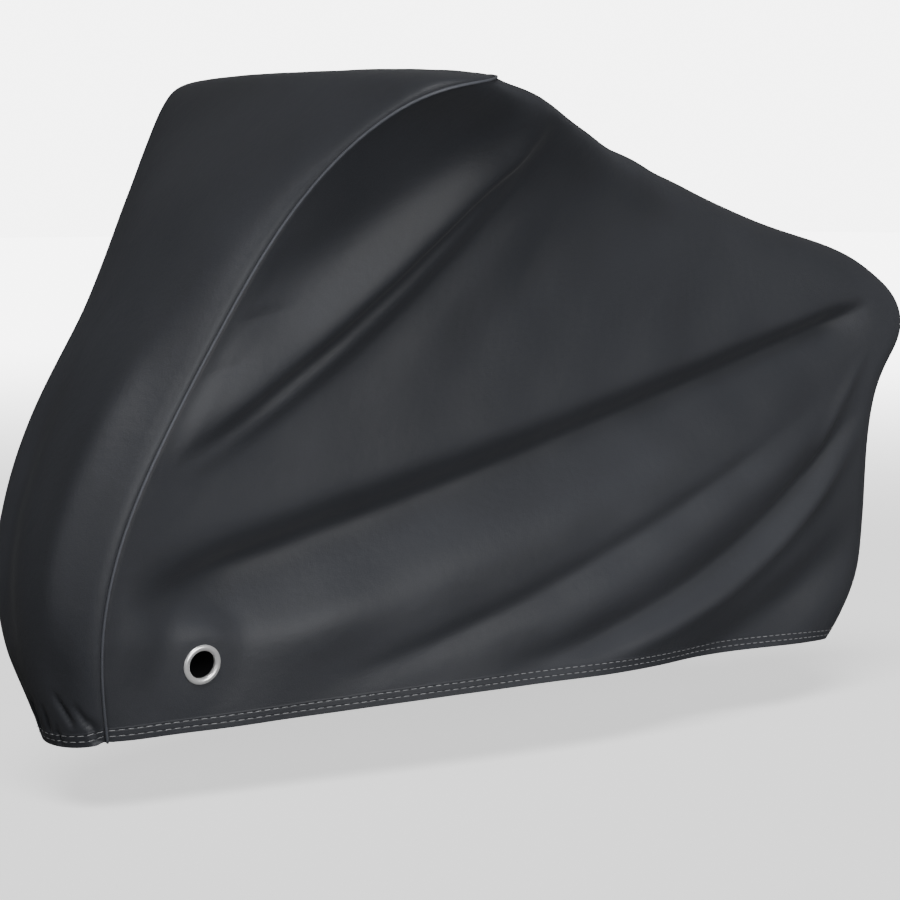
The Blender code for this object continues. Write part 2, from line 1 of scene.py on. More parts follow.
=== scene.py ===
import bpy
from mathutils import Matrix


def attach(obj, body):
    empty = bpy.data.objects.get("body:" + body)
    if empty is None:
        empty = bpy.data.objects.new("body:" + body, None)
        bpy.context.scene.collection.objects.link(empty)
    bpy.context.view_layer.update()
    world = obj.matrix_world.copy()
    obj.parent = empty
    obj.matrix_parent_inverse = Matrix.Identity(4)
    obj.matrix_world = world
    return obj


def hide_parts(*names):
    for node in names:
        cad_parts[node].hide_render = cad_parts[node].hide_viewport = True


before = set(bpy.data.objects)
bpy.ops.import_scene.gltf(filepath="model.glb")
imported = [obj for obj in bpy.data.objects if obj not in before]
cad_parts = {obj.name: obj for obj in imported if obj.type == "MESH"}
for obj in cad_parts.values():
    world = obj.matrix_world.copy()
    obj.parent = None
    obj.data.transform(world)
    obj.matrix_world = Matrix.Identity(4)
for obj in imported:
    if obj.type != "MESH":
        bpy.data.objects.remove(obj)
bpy.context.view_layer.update()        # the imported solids, which the pieces below stand for

from collections import namedtuple

import bmesh
import bpy
import numpy as np
from bpy.props import FloatProperty, FloatVectorProperty, PointerProperty
from mathutils import Vector

bl_info = {
    "name": "Bicycle Cover",
    "version": (1, 0, 0),
    "blender": (4, 5, 0),
    "location": "View3D > Sidebar > Cover",
    "description": "Fitted bicycle cover: draped panels, welted arch seam, stitched hem, eyelets",
    "category": "Object",
}

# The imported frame: metres, +X from the handlebar to the rear, -Y the bicycle's left, +Z up,
# the origin under the cloth over the middle of the handlebar. The tables give x from the
# handlebar, half widths y from the middle plane and h, the height above the ground. A share
# runs from 0 to 1: along the side from the arch seam to the tail, or up it from the hem.
BAR_HEIGHT = 1.168        # top of the cloth over the handlebar, above the ground
SOLID_CLOTH = 0.002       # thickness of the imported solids' cloth
GROUND = SOLID_CLOTH - BAR_HEIGHT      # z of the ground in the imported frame
LEAN = 0.02               # rise of the cover from its left side to its right side
LEFT, RIGHT = -1, 1       # sign of y on each side
EYELET_AT = (0.104, 0.070)             # shares along and up the side
FLAT_RADIUS, FLAT_BLEND = 0.037, 0.065     # pressed flat round the eyelet, then easing off
RIDGE_ROUND, TAIL_ROUND = 0.08, 0.10       # how early the cloth turns over at the two edges
RIDGE_START = 0.15        # share of the side over which the ridge grows out of the crown
SEAM_EASE, TAIL_EASE, RIDGE_EASE = 0.030, 0.080, 0.150     # folds die out near the edges
FRONT_EASE, GATHER_EASE = 0.30, 0.06       # the front's folds and its gathers
BULGE_SCALE = 2.6         # brings the peak of sin^2 cos to 1
FOLD_SAMPLES = 48         # points along a fold's path
SIDE_SLACK, FRONT_SLACK = 0.0024, 0.0008   # unevenness of the hanging cloth
SLACK_WAVES = 8
SLACK_LENGTHS = (0.09, 0.26)           # its shortest and longest wavelength
SLACK_NARROW = 1.5        # its waves are this much closer across the front
LEFT_SEED, RIGHT_SEED, FRONT_SEED = 7, 12, 31

# ---- tables of the form
# The arch seam from the hem to the crown, with the middle line of the front beside it;
# fullness: the power of the row's superellipse; overhang: its bulge past the seam.
Arch = namedtuple("Arch", "share seam_x seam_y seam_h front_x front_h fullness overhang")
ARCH = [
    Arch(0.000, -0.435, 0.085, 0.117, -0.485, 0.106, 1.00, 0.000),
    Arch(0.103, -0.466, 0.126, 0.282, -0.535, 0.270, 1.00, 0.000),
    Arch(0.215, -0.440, 0.160, 0.465, -0.525, 0.460, 1.00, 0.000),
    Arch(0.304, -0.380, 0.177, 0.602, -0.462, 0.615, 1.00, 0.000),
    Arch(0.421, -0.285, 0.195, 0.772, -0.350, 0.795, 0.95, 0.000),
    Arch(0.534, -0.192, 0.235, 0.936, -0.240, 0.965, 0.85, 0.000),
    Arch(0.624, -0.112, 0.298, 1.052, -0.130, 1.080, 0.80, 0.002),
    Arch(0.692, -0.043, 0.355, 1.116, -0.050, 1.147, 0.70, 0.006),
    Arch(0.741, 0.018, 0.385, 1.142, 0.000, 1.170, 0.65, 0.008),
    Arch(0.790, 0.100, 0.370, 1.155, 0.070, 1.175, 0.80, 0.003),
    Arch(0.840, 0.165, 0.300, 1.163, 0.120, 1.179, 0.90, 0.000),
    Arch(0.920, 0.203, 0.150, 1.167, 0.170, 1.176, 0.85, 0.000),
    Arch(1.000, 0.210, 0.000, 1.167, 0.2095, 1.1671, 0.80, 0.000),
]

# The hem of a side from the arch seam to the tail, the ridge in the middle plane from the
# crown to the tail, and the tail from the hem up to the end of the ridge.
Outline = namedtuple("Outline", "share x h")
HEM_LINE = [
    Outline(0.00, -0.435, 0.117),
    Outline(0.10, -0.290, 0.118),
    Outline(0.25, -0.020, 0.126),
    Outline(0.42, 0.285, 0.133),
    Outline(0.60, 0.600, 0.132),
    Outline(0.80, 0.970, 0.126),
    Outline(0.92, 1.125, 0.119),
    Outline(1.00, 1.205, 0.114),
]
RIDGE = [
    Outline(0.00, 0.210, 1.167),
    Outline(0.08, 0.310, 1.147),
    Outline(0.16, 0.408, 1.112),
    Outline(0.32, 0.630, 1.045),
    Outline(0.50, 0.860, 0.975),
    Outline(0.68, 1.080, 0.910),
    Outline(0.86, 1.285, 0.855),
    Outline(1.00, 1.400, 0.785),
]
TAIL = [
    Outline(0.00, 1.205, 0.114),
    Outline(0.12, 1.258, 0.195),
    Outline(0.30, 1.273, 0.330),
    Outline(0.52, 1.278, 0.500),
    Outline(0.76, 1.338, 0.640),
    Outline(0.90, 1.392, 0.715),
    Outline(1.00, 1.400, 0.785),
]

# Half widths of the side at sections along it, at these levels up it.
WIDTH_LEVELS = (0.0, 0.2, 0.4, 0.6, 0.8, 0.92, 1.0)
Width = namedtuple("Width", "share hem knee waist chest shoulder brow ridge")
WIDTHS = [
    Width(0.15, 0.118, 0.152, 0.180, 0.234, 0.250, 0.108, 0.0),
    Width(0.32, 0.165, 0.172, 0.173, 0.178, 0.160, 0.086, 0.0),
    Width(0.50, 0.183, 0.175, 0.160, 0.140, 0.115, 0.062, 0.0),
    Width(0.70, 0.155, 0.152, 0.142, 0.125, 0.100, 0.055, 0.0),
    Width(0.86, 0.100, 0.118, 0.122, 0.115, 0.095, 0.052, 0.0),
    Width(0.95, 0.055, 0.075, 0.085, 0.082, 0.070, 0.040, 0.0),
    Width(1.00, 0.000, 0.000, 0.000, 0.000, 0.000, 0.000, 0.0),
]

# Folds. Each runs from (x0, h0) by way of (x1, h1) to (x2, h2) as seen square from the side;
# rise0, rise1: how far it stands out (+) or lies in (-) at its start and end; above, below:
# its half width on each flank, at its start; spread: how many times wider it is at its end;
# fade0, fade1: shares of its length over which it dies out.
Fold = namedtuple("Fold", "x0 h0 x1 h1 x2 h2 rise0 rise1 above below spread fade0 fade1")
LEFT_FOLDS = [
    # the long trough from the tail down to the front wheel, and the swell under it
    Fold(1.30, 0.768, 0.430, 0.552, -0.44, 0.310, -0.026, -0.060, 0.018, 0.038, 2.6, 0.10, 0.13),
    Fold(1.15, 0.600, 0.440, 0.360, -0.36, 0.250, 0.012, 0.010, 0.090, 0.090, 1.0, 0.25, 0.25),
    Fold(0.15, 0.295, -0.12, 0.285, -0.46, 0.280, 0.008, 0.008, 0.060, 0.055, 1.0, 0.40, 0.12),
    # the hollow behind the arch seam, and the pleats that fall from the shoulder
    Fold(0.26, 1.095, -0.010, 0.950, -0.26, 0.780, -0.007, -0.008, 0.050, 0.055, 1.0, 0.25, 0.25),
    Fold(0.30, 1.125, 0.050, 0.808, -0.40, 0.555, 0.036, 0.018, 0.070, 0.038, 0.8, 0.15, 0.20),
    Fold(0.315, 1.105, 0.065, 0.788, -0.385, 0.535, -0.009, -0.011, 0.015, 0.015, 1.3, 0.35, 0.25),
    Fold(0.32, 1.075, 0.076, 0.773, -0.375, 0.520, 0.004, 0.009, 0.015, 0.016, 1.3, 0.35, 0.25),
    Fold(0.33, 1.030, 0.092, 0.752, -0.28, 0.540, -0.007, -0.004, 0.014, 0.045, 1.3, 0.20, 0.35),
    Fold(0.42, 0.960, 0.350, 0.860, 0.30, 0.770, -0.006, -0.004, 0.040, 0.060, 1.0, 0.40, 0.40),
    # the folds that swing down and forward from the tail
    Fold(1.22, 0.640, 0.460, 0.285, -0.08, 0.165, -0.006, -0.009, 0.018, 0.022, 1.2, 0.35, 0.25),
    Fold(1.24, 0.640, 0.740, 0.290, 0.20, 0.195, 0.011, 0.011, 0.040, 0.036, 1.2, 0.25, 0.30),
    Fold(1.23, 0.590, 0.845, 0.220, 0.20, 0.148, -0.018, -0.014, 0.022, 0.022, 1.2, 0.25, 0.30),
    Fold(1.24, 0.560, 0.925, 0.200, 0.40, 0.148, 0.016, 0.012, 0.026, 0.024, 1.1, 0.25, 0.30),
    Fold(1.27, 0.370, 0.930, 0.095, 0.50, 0.095, -0.044, -0.034, 0.055, 0.060, 1.0, 0.45, 0.35),
]
RIGHT_FOLDS = [
    Fold(1.28, 0.740, 0.500, 0.640, -0.38, 0.420, -0.014, -0.026, 0.024, 0.055, 2.0, 0.12, 0.18),
    Fold(1.10, 0.580, 0.450, 0.380, -0.30, 0.270, 0.012, 0.012, 0.090, 0.090, 1.0, 0.25, 0.25),
    Fold(0.30, 1.090, 0.020, 0.900, -0.25, 0.740, -0.016, -0.010, 0.045, 0.045, 1.2, 0.15, 0.25),
    Fold(0.40, 1.030, 0.150, 0.780, -0.30, 0.560, -0.014, -0.010, 0.030, 0.030, 1.5, 0.20, 0.25),
    Fold(1.25, 0.620, 0.960, 0.260, 0.15, 0.200, -0.012, -0.012, 0.035, 0.040, 1.3, 0.25, 0.30),
    Fold(1.22, 0.480, 1.060, 0.180, 0.40, 0.150, 0.012, 0.010, 0.032, 0.032, 1.2, 0.25, 0.30),
]
# On the front the first coordinate is y, so these run up and down it.
FRONT_FOLDS = [
    Fold(-0.17, 0.860, -0.150, 0.450, -0.035, 0.120, 0.007, 0.010, 0.040, 0.035, 0.8, 0.30, 0.20),
    Fold(-0.11, 0.780, -0.100, 0.450, -0.065, 0.180, -0.008, -0.008, 0.035, 0.035, 0.8, 0.30, 0.30),
    Fold(0.12, 0.840, 0.110, 0.450, 0.030, 0.130, -0.008, -0.010, 0.035, 0.040, 0.8, 0.30, 0.20),
    Fold(0.05, 0.700, 0.060, 0.400, 0.045, 0.110, 0.006, 0.008, 0.035, 0.030, 0.8, 0.30, 0.20),
]
# Finer creases, which only the cloth itself has.
LEFT_CREASES = [
    Fold(1.26, 0.690, 1.110, 0.540, 1.00, 0.380, 0.0050, 0.004, 0.014, 0.012, 1.3, 0.30, 0.40),
    # small crushes beside the arch seam
    Fold(-0.27, 0.775, -0.200, 0.783, -0.13, 0.800, -0.0025, -0.002, 0.006, 0.008, 1.0, 0.3, 0.4),
    Fold(-0.33, 0.692, -0.280, 0.700, -0.23, 0.718, -0.0025, -0.002, 0.006, 0.008, 1.0, 0.3, 0.4),
]
FRONT_CREASES = [
    # the gathers that the drawn-in hem throws up
    Fold(-0.041, 0.203, -0.055, 0.175, -0.066, 0.140, 0.0056, 0.0064, 0.005, 0.005, 1.0, 0.5, 0.2),
    Fold(-0.075, 0.185, -0.082, 0.165, -0.084, 0.140, 0.0048, 0.0056, 0.005, 0.005, 1.0, 0.5, 0.2),
    Fold(-0.089, 0.162, -0.087, 0.140, -0.082, 0.112, 0.0048, 0.0064, 0.004, 0.004, 1.0, 0.5, 0.1),
    Fold(-0.012, 0.178, -0.010, 0.150, -0.006, 0.125, 0.0048, 0.0048, 0.005, 0.005, 1.0, 0.5, 0.2),
    Fold(-0.032, 0.145, -0.028, 0.125, -0.025, 0.108, 0.0040, 0.0048, 0.004, 0.004, 1.0, 0.5, 0.1),
    Fold(0.020, 0.190, 0.028, 0.150, 0.030, 0.120, 0.0056, 0.0056, 0.006, 0.006, 1.0, 0.5, 0.2),
    Fold(0.050, 0.180, 0.056, 0.150, 0.060, 0.118, 0.0048, 0.0056, 0.005, 0.005, 1.0, 0.5, 0.2),
    Fold(0.078, 0.175, 0.080, 0.145, 0.080, 0.115, 0.0048, 0.0048, 0.005, 0.005, 1.0, 0.5, 0.2),
]

# Grids: stretches of the two parameters, each (start, end, steps), finer at seams and hems.
LEFT_ALONG = ((0, 0.008, 8), (0.008, 0.03, 8), (0.03, 0.2, 40), (0.2, 0.97, 158), (0.97, 1, 12))
RIGHT_ALONG = ((0, 0.008, 6), (0.008, 0.03, 5), (0.03, 0.2, 28), (0.2, 0.97, 100), (0.97, 1, 10))
LEFT_UP = ((0, 0.02, 9), (0.02, 0.1, 18), (0.1, 0.6, 78), (0.6, 0.95, 56), (0.95, 1, 14))
RIGHT_UP = ((0, 0.02, 7), (0.02, 0.1, 14), (0.1, 0.6, 52), (0.6, 0.95, 40), (0.95, 1, 12))
FRONT_ACROSS = ((-1, -0.94, 6), (-0.94, 0.94, 84), (0.94, 1, 6))
FRONT_UP = ((0, 0.02, 10), (0.02, 0.12, 24), (0.12, 0.98, 140), (0.98, 0.9993, 7))

# How the panels meet and are sewn: lengths in metres, the rest shares.
TUCK = 0.0006             # a panel ends this far to its own side of the seam line
SIDE_DIP, FRONT_DIP = 0.0020, 0.0008   # how deep a panel dips beside the welt
DIP_REACH = 0.005         # and how far from its edge
PUNCH_MARGIN = 0.0035     # from the eyelet's bore to the punched cloth
ROW_START, ROW_END = 0.6, 0.4          # of the pitch, left bare at a row's two ends
ROW_AHEAD = 0.002         # over which a row's direction is taken
THREAD_END = 0.02         # least value under a stitch's root, so its ends aren't points
THREAD_FLAT, THREAD_LIFT = 0.36, 0.0001    # half height over width; height of its middle

# The piped welt.
SEAM_STEPS = 260          # rings on each side of the crown
WELT_SIDES = 14
WELT_WIDE, WELT_RAISED = 0.85, 0.4     # half width, and height of its middle, over its radius
PINCH, PINCH_PITCH = 0.06, 0.009       # how much and how often its stitches draw it in
WELT_ROUND, WELT_START = 0.014, 0.05   # metres of cloth round it; where its uv begins

# The eyelets' metal; the profiles give (distance past a radius, height out of the cloth).
RING_STEPS, ROLL_STEPS = 96, 15
ROLL_FOOT, ROLL_HEIGHT, ROLL_POWER = 0.0004, 0.0036, 0.8
BARREL = ((0.0, -0.0035), (0.0008, -0.0047), (0.0035, -0.0047), (0.0040, -0.0036),
          (0.0010, -0.0032), (0.0010, 0.0002))
WASHER_HOLE = 0.0014      # from the bore to the washer's hole
WASHER_RIM = ((-0.0010, -0.0012), (-0.0006, -0.0018), (-0.0012, -0.0027))

# The finishes: pitches and depths of relief in metres, shades as shares of a colour.
WEAVE_PITCH, WEAVE_DEPTH = 0.0016, 0.00003
CRUSH_SCALE, CRUSH_DEPTH = 26.0, 0.0011    # scales count a noise's cells in a metre
GRAIN_SCALE, GRAIN_DEPTH, GRAIN_ROUGH = 420.0, 0.00022, 0.06
DYE_SCALE, DYE_SHARE, DYE_ROUGH, CLOTH_ROUGH = 2.3, 0.55, 0.10, 0.50
STITCH_REACH, STITCH_DIP = 0.0022, 0.0005      # the dip along a row of stitches
HEM_PAST, HEM_BLEND, HEM_STEP = 0.004, 0.0012, 0.0004      # the edge of the turned hem
# the last is how many times lighter the welt's cloth is made than the panels': a painted highlight
# along the raised seam
DYE_LEAN, DYE_FULL, WELT_PAINTED_HIGHLIGHT = 0.84, 1.22, 2.3
PLY_PITCH, PLY_DEPTH, WORN_SCALE, THREAD_WORN = 0.0011, 0.00008, 90.0, 0.75
MARK_SCALE, MARK_DEPTH = 900.0, 0.00001
HAZE_SCALE, STEEL_HAZY, STEEL_ROUGH, HAZE_ROUGH = 60.0, 0.94, 0.16, 0.10

# The camera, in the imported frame.
EYE, AIM = (-2.510, -3.609, -0.2089), (0.310, 0.0, -0.6395)
LENS, SENSOR, VIEW_REACH = 105.48, 36.0, 200.0

# The lights, all distant and soft. place: where one shines from, towards LIT_AT; power in
# W/m2; width: the angle that it fills in the sky, in radians.
Lamp = namedtuple("Lamp", "name place power width")
LAMPS = [
    Lamp("key_light", (-1.6, -2.0, 3.5), 2.5, 0.5),
    Lamp("front_light", (0.3, -5.0, -0.1), 2.5, 0.7),
    Lamp("side_light", (-4.7, -1.3, -0.1), 0.35, 0.5),
    Lamp("far_light", (3.8, 3.5, -1.10), 2.0, 0.3),
]
LIT_AT = (0.3, 0.0, -0.55)
DIM_LIGHT, BACKDROP = 0.03, 6.0        # the studio's own light, and how bright it looks
FLOOR_GLOW = 0.17         # share of the backdrop's brightness that the near floor has
FLOOR_NEAR, FLOOR_FAR = 3.0, 14.0      # radii between which the floor fades into the backdrop
FLOOR_REACH, FLOOR_LINES = 60.0, 5     # half its width; its grid lines each way


# ---- user settings
class CoverSizes(bpy.types.PropertyGroup):
    cloth: FloatProperty(name="Cloth", description="Thickness of the sheet", default=0.0007,
                         min=0.0003, max=0.002, precision=4, unit="LENGTH")
    low_row: FloatProperty(name="Low stitch row", description="Height above the hem's edge",
                           default=0.0105, min=0.004, max=0.03, precision=4, unit="LENGTH")
    high_row: FloatProperty(name="High stitch row", description="Height above the hem's edge",
                            default=0.0210, min=0.01, max=0.05, precision=4, unit="LENGTH")
    stitch: FloatProperty(name="Stitch", description="Length of thread that shows",
                          default=0.0115, min=0.002, max=0.02, precision=4, unit="LENGTH")
    pitch: FloatProperty(name="Stitch pitch", description="From one stitch to the next",
                         default=0.016, min=0.003, max=0.03, precision=4, unit="LENGTH")
    thread: FloatProperty(name="Thread", description="Width of the sewing thread",
                          default=0.0013, min=0.0005, max=0.003, precision=4, unit="LENGTH")
    welt: FloatProperty(name="Welt", description="Radius of the piped arch seam",
                        default=0.0025, min=0.001, max=0.005, precision=4, unit="LENGTH")
    hole: FloatProperty(name="Eyelet hole", description="Radius of the clear hole",
                        default=0.023, min=0.005, max=0.05, precision=4, unit="LENGTH")
    rim: FloatProperty(name="Eyelet rim", description="Outer radius of the grommet",
                       default=0.033, min=0.01, max=0.06, precision=4, unit="LENGTH")


class CoverColours(bpy.types.PropertyGroup):
    cloth: FloatVectorProperty(name="Cloth", description="Proofed polyester", size=3, min=0,
                               max=1, subtype="COLOR", default=(0.0304, 0.0322, 0.0377))
    thread: FloatVectorProperty(name="Thread", description="Sewing thread of the hem", size=3,
                                min=0, max=1, subtype="COLOR", default=(0.30, 0.305, 0.315))
    steel: FloatVectorProperty(name="Steel", description="Polished grommets", size=3, min=0,
                               max=1, subtype="COLOR", default=(0.90, 0.90, 0.90))
    floor: FloatVectorProperty(name="Floor", description="Plain pale floor", size=3, min=0,
                               max=1, subtype="COLOR", default=(0.80, 0.80, 0.80))


# ---- mathematics of the form
def unit(vectors):
    """Vectors brought to length 1."""
    return vectors / np.linalg.norm(vectors, axis=-1, keepdims=True)


def column(rows, *names):
    """The named columns of a table, as an array with its rows."""
    return np.array([[getattr(row, name) for name in names] for row in rows])


def stretches(parts):
    """Numbers that run through the stretches in equal steps within each."""
    runs = [np.linspace(start, end, steps, endpoint=False) for start, end, steps in parts]
    return np.append(np.concatenate(runs), parts[-1][1])


def spline(knots, values, at):
    """Natural cubic spline through the rows of values at the knots; its shape is at's."""
    knots, values = np.asarray(knots, float), np.asarray(values, float)
    count, step = len(knots), np.diff(knots)
    system = np.eye(count)
    right = np.zeros_like(values)
    for i in range(1, count - 1):
        system[i, i - 1:i + 2] = step[i - 1], 2 * (step[i - 1] + step[i]), step[i]
        right[i] = 6 * ((values[i + 1] - values[i]) / step[i]
                        - (values[i] - values[i - 1]) / step[i - 1])
    bend = np.linalg.solve(system, right)
    place = np.clip(np.asarray(at, float), knots[0], knots[-1])
    i = np.clip(np.searchsorted(knots, place) - 1, 0, count - 2)
    width = step[i][..., None]
    after = (knots[i + 1] - place)[..., None]
    before = (place - knots[i])[..., None]
    return ((bend[i] * after ** 3 + bend[i + 1] * before ** 3) / (6 * width)
            + (values[i] / width - bend[i] * width / 6) * after
            + (values[i + 1] / width - bend[i + 1] * width / 6) * before)


def table_line(rows, at, *names):
    """The spline through the named columns of a table, by its shares."""
    return spline(column(rows, "share")[:, 0], column(rows, *names), at)


def ease(t):
    """0 below 0, 1 above 1, and the smooth step 3tt - 2ttt between."""
    t = np.clip(t, 0.0, 1.0)
    return t * t * (3 - 2 * t)


def turned(share, radius):
    """A share from 0 to 1 that slows to a stop at 1, along a hyperbola of that radius."""
    full = np.sqrt(1 + radius * radius) - radius
    return 1 - (np.sqrt((1 - share) ** 2 + radius * radius) - radius) / full


def side_form(along, up):
    """The left side without folds. In side view it is the Coons patch of the arch seam, the
    hem, the ridge and the tail: the sum of the two ruled surfaces less the one through the
    corners. Its width is a spline surface through the table."""
    u = turned(along, TAIL_ROUND)
    v = up + (turned(up, RIDGE_ROUND) - up) * ease(along / RIDGE_START)
    seam, tail = table_line(ARCH, v, "seam_x", "seam_h"), table_line(TAIL, v, "x", "h")
    hem, ridge = table_line(HEM_LINE, u, "x", "h"), table_line(RIDGE, u, "x", "h")
    low0, top0 = column(ARCH, "seam_x", "seam_h")[[0, -1]]
    low1, top1 = column(TAIL, "x", "h")[[0, -1]]
    u, v = u[..., None], v[..., None]
    flat = ((1 - u) * seam + u * tail + (1 - v) * hem + v * ridge
            - (1 - u) * (1 - v) * low0 - u * (1 - v) * low1
            - (1 - u) * v * top0 - u * v * top1)
    stations = [0.0] + [row.share for row in WIDTHS]
    at_seam = table_line(ARCH, up, "seam_y")
    at_rest = spline(WIDTH_LEVELS, column(WIDTHS, *Width._fields[1:]).T, up)
    weights = spline(stations, np.eye(len(stations)), along)
    width = (weights * np.concatenate([at_seam, at_rest], -1)).sum(-1)
    return np.stack([flat[..., 0], -width, flat[..., 1]], -1)


def front_form(across, up):
    """The left half of the front without folds: across is 0 in the middle, 1 at the seam.
    Each row is a superellipse quarter, y = seam sin a and x, h = seam + (middle - seam)
    cos a to the row's fullness, with a bulge past the seam round the bar end."""
    middle = table_line(ARCH, up, "front_x", "front_h")
    manner = table_line(ARCH, up, "fullness", "overhang")
    seam = side_form(np.zeros_like(up), up)
    angle = across * np.pi / 2
    reach = np.maximum(np.cos(angle), 1e-9) ** manner[..., 0]
    x = seam[..., 0] + (middle[..., 0] - seam[..., 0]) * reach
    h = seam[..., 2] + (middle[..., 1] - seam[..., 2]) * reach
    bulge = BULGE_SCALE * np.sin(angle) ** 2 * np.cos(angle)
    return np.stack([x, seam[..., 1] * np.sin(angle) - manner[..., 1] * bulge, h], -1)


def outward(form, first, second, step=1e-4):
    """Unit normals of a form: the cross product of its central differences."""
    a = np.clip(first, step, 1 - step)
    b = np.clip(second, step, 1 - step)
    return unit(np.cross(form(a + step, b) - form(a - step, b),
                         form(a, b + step) - form(a, b - step)))


def fold_rise(folds, across, height):
    """How far the folds stand out at points of the side view: each is a bell curve of the
    distance from its path, a quadratic Bezier, with a different width on its two flanks."""
    total = np.zeros(np.shape(across))
    s = np.linspace(0, 1, FOLD_SAMPLES)
    for f in folds:
        path_x = (1 - s) ** 2 * f.x0 + 2 * s * (1 - s) * f.x1 + s * s * f.x2
        path_h = (1 - s) ** 2 * f.h0 + 2 * s * (1 - s) * f.h1 + s * s * f.h2
        dx = across[..., None] - path_x
        dh = height[..., None] - path_h
        nearest = np.argmin(dx ** 2 + dh ** 2, -1)
        tangent_x, tangent_h = np.gradient(path_x), np.gradient(path_h)
        length = np.hypot(tangent_x, tangent_h)
        dx = np.take_along_axis(dx, nearest[..., None], -1)[..., 0]
        dh = np.take_along_axis(dh, nearest[..., None], -1)[..., 0]
        tx, th = (tangent_x / length)[nearest], (tangent_h / length)[nearest]
        along = dx * tx + dh * th                 # past the nearest sample, or past an end
        off = np.where(tx > 0, 1.0, -1.0) * (dh * tx - dx * th)
        place = np.clip(s[nearest] + along / length.sum(), 0, 1)
        width = (1 + (f.spread - 1) * place) * np.where(off > 0, f.above, f.below)
        rise = f.rise0 + (f.rise1 - f.rise0) * place
        live = ease(place / f.fade0) * ease((1 - place) / f.fade1)
        past_end = np.where((nearest == 0) | (nearest == FOLD_SAMPLES - 1), along, 0.0)
        total += rise * live * np.exp(-(off ** 2 + past_end ** 2) / width ** 2)
    return total


def slack(across, height, size, seed):
    """Soft unevenness of hanging cloth: the mean of plane waves of random direction, phase
    and wavelength, times size."""
    rng = np.random.default_rng(seed)
    turn = rng.uniform(0, np.pi, SLACK_WAVES)
    number = 2 * np.pi / rng.uniform(*SLACK_LENGTHS, SLACK_WAVES)
    phase = rng.uniform(0, 2 * np.pi, SLACK_WAVES)
    wave = np.sin(number * (across[..., None] * np.cos(turn) + height[..., None] * np.sin(turn))
                  + phase)
    return size * wave.mean(-1)


def eyelet_frame():
    """Centre of the left eyelet and the unit vectors rearward, up and out of the cloth."""
    u, v = np.array(EYELET_AT[0]), np.array(EYELET_AT[1])
    out = outward(side_form, u, v)
    rear = np.array([1.0, 0.0, 0.0])
    rear = unit(rear - rear.dot(out) * out)
    return side_form(u, v), rear, np.cross(out, rear), out


def side_cloth(along, up, folds, seed):
    """The left side with its folds and its slack, pressed flat round the eyelet."""
    form = side_form(along, up)
    still = ease(along / SEAM_EASE) * ease((1 - along) / TAIL_EASE) * ease((1 - up) / RIDGE_EASE)
    rise = still * (fold_rise(folds, form[..., 0], form[..., 2])
                    + slack(form[..., 0], form[..., 2], SIDE_SLACK, seed))
    cloth = form + rise[..., None] * outward(side_form, along, up)
    centre, _, _, out = eyelet_frame()
    away = cloth - centre
    press = 1 - ease((np.linalg.norm(away, axis=-1) - FLAT_RADIUS) / FLAT_BLEND)
    return cloth - (press * (away @ out))[..., None] * out


def front_cloth(across, up):
    """The front with its folds and gathers: across is -1 at the left seam, 1 at the right."""
    form = front_form(abs(across), up)
    normal = outward(front_form, abs(across), up)
    for vectors in (form, normal):
        vectors[..., 1] *= np.where(across > 0, -1.0, 1.0)
    y, h = form[..., 1], form[..., 2]
    still = ease((1 - abs(across)) / FRONT_EASE) * ease((1 - up) / RIDGE_EASE)
    gathered = ease((1 - abs(across)) / GATHER_EASE)
    rise = (still * (fold_rise(FRONT_FOLDS, y, h)
                     + slack(y * SLACK_NARROW, h, FRONT_SLACK, FRONT_SEED))
            + gathered * fold_rise(FRONT_CREASES, y, h))
    return form - rise[..., None] * normal


def settle(points):
    """From x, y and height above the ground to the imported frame, with the cover's lean."""
    placed = np.array(points, float)
    rise = np.clip(placed[..., 2] - ARCH[0].seam_h, 0, 1)
    placed[..., 2] += LEAN * placed[..., 1] * rise + GROUND
    return placed


def mirrored(points, side):
    """A left-hand form moved to the side asked for."""
    return points * np.array([1.0, -side, 1.0])


def seam_line(levels, step=1e-3):
    """Points of the left half of the arch seam, the directions in the cloth square to it,
    towards the tail, and the outward normals."""
    start = np.zeros_like(levels)
    points = side_form(start, levels)
    run = unit(np.gradient(points, axis=0))
    away = side_form(start + step, levels) - points
    away = unit(away - (away * run).sum(-1, keepdims=True) * run)
    return points, away, np.cross(away, run)


# ---- mesh helpers
def grid_normals(points):
    """Unit normals of a grid of points, along its first direction crossed with its second."""
    return unit(np.cross(np.gradient(points, axis=0), np.gradient(points, axis=1)))


def run_lengths(points, axis):
    """Distance along the grid in one direction, from 0 at its first line."""
    steps = np.linalg.norm(np.diff(points, axis=axis), axis=-1)
    start = np.zeros_like(np.take(steps, [0], axis))
    return np.cumsum(np.concatenate([start, steps], axis), axis)


def grid_uv(points):
    """The cloth's own metres on a grid: the distances along its two directions."""
    return np.stack([run_lengths(points, 0), run_lengths(points, 1)], -1)


def grid_quads(rows, columns, close_columns=False):
    """Corners of the quads of a grid whose point number is row * columns + column."""
    i, j = np.meshgrid(np.arange(rows - 1), np.arange(columns - (not close_columns)),
                       indexing="ij")
    right = (j + 1) % columns
    return np.stack([i * columns + j, (i + 1) * columns + j, (i + 1) * columns + right,
                     i * columns + right], -1).reshape(-1, 4)


def tube_faces(rings, sides):
    """Quads of a tube of rings, with a fan of quads closing each end; sides is even."""
    fan = np.array([[0, i, i + 1, i + 2] for i in range(1, sides - 1, 2)])
    return np.concatenate([grid_quads(rings, sides, close_columns=True), fan,
                           fan[:, ::-1] + (rings - 1) * sides])


